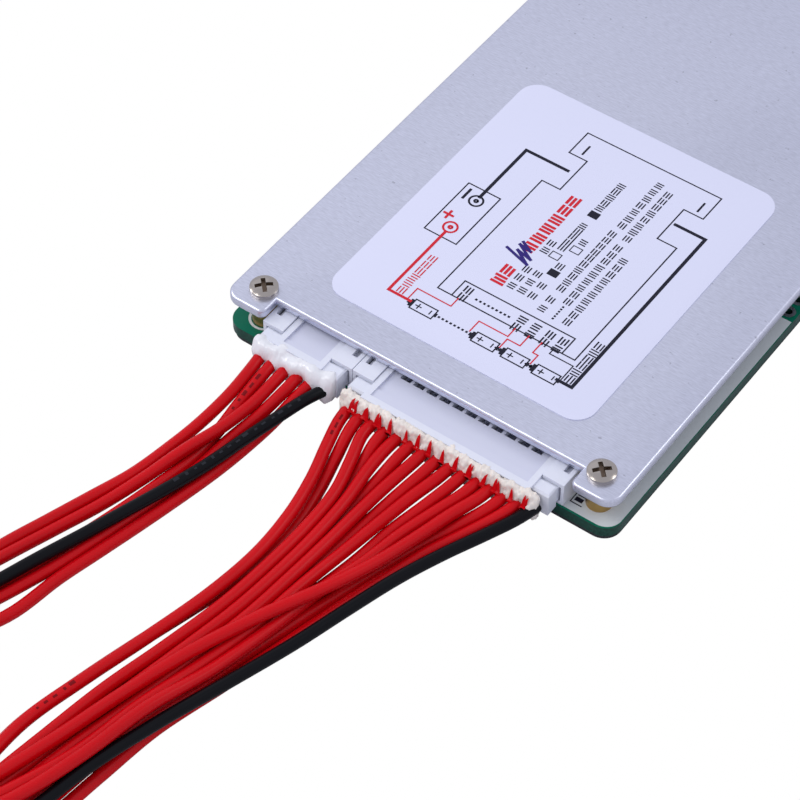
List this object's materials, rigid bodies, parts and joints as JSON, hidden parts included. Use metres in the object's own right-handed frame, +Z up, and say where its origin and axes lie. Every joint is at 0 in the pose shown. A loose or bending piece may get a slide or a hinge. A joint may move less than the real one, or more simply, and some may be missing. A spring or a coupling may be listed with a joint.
{
  "type": "battery management board",
  "caption": "Battery management board under an aluminium cover plate, with a wiring label, two glued sense-lead plugs, leads coiled up and side notches over the cable pads.",
  "frame": {"origin": "under the middle of the board and its plugs, at the bottom of the insulating sheet", "axes": "+Z up through the cover plate, -Y out of the plugs, +X to the right when the plugs face the viewer"},
  "size_m": [0.0971, 0.2529, 0.0152],
  "materials": {
    "sheet": "matte",
    "board": "glossy solder mask",
    "plate": "brushed, with fine scratches",
    "label": "satin",
    "screw": "nickel plated",
    "standoff": "satin",
    "housing": "satin nylon",
    "tinned": "tinned, satin",
    "glue": "glossy",
    "package": "matte",
    "gap_pad": "matte",
    "capacitor": "satin",
    "red_lead": "satin silicone",
    "black_lead": "satin silicone",
    "tie": "satin nylon"
  },
  "bodies": {
    "root": {"insulating_sheet": "sheet", "circuit_board": "board", "cover_plate": "plate", "wiring_label": "label", "cover_screws": "screw", "standoffs": "standoff", "small_header": "housing", "large_header": "housing", "small_plug": "housing", "large_plug": "housing", "header_pins": "tinned", "crimp_contacts": "tinned", "small_plug_glue": "glue", "large_plug_glue": "glue", "power_transistors": "package", "transistor_tabs": "tinned", "thermal_pad": "gap_pad", "shunt_resistors": "package", "balance_resistors": "package", "signal_transistors": "package", "monitor_chips": "package", "chip_leads": "tinned", "filter_capacitors": "capacitor", "zener_diodes": "package", "bus_bars": "tinned", "cable_pads": "tinned", "thermistor": "package", "small_wire_1": "red_lead", "small_wire_2": "red_lead", "small_wire_3": "red_lead", "small_wire_4": "red_lead", "small_wire_5": "red_lead", "small_wire_6": "black_lead", "large_wire_1": "red_lead", "large_wire_2": "red_lead", "large_wire_3": "red_lead", "large_wire_4": "red_lead", "large_wire_5": "red_lead", "large_wire_6": "red_lead", "large_wire_7": "red_lead", "large_wire_8": "red_lead", "large_wire_9": "red_lead", "large_wire_10": "red_lead", "large_wire_11": "red_lead", "large_wire_12": "red_lead", "large_wire_13": "red_lead", "large_wire_14": "red_lead", "large_wire_15": "black_lead", "small_coil": "red_lead", "large_coil": "red_lead", "small_coil_tie": "tie", "large_coil_tie": "tie"}
  },
  "joints": []
}
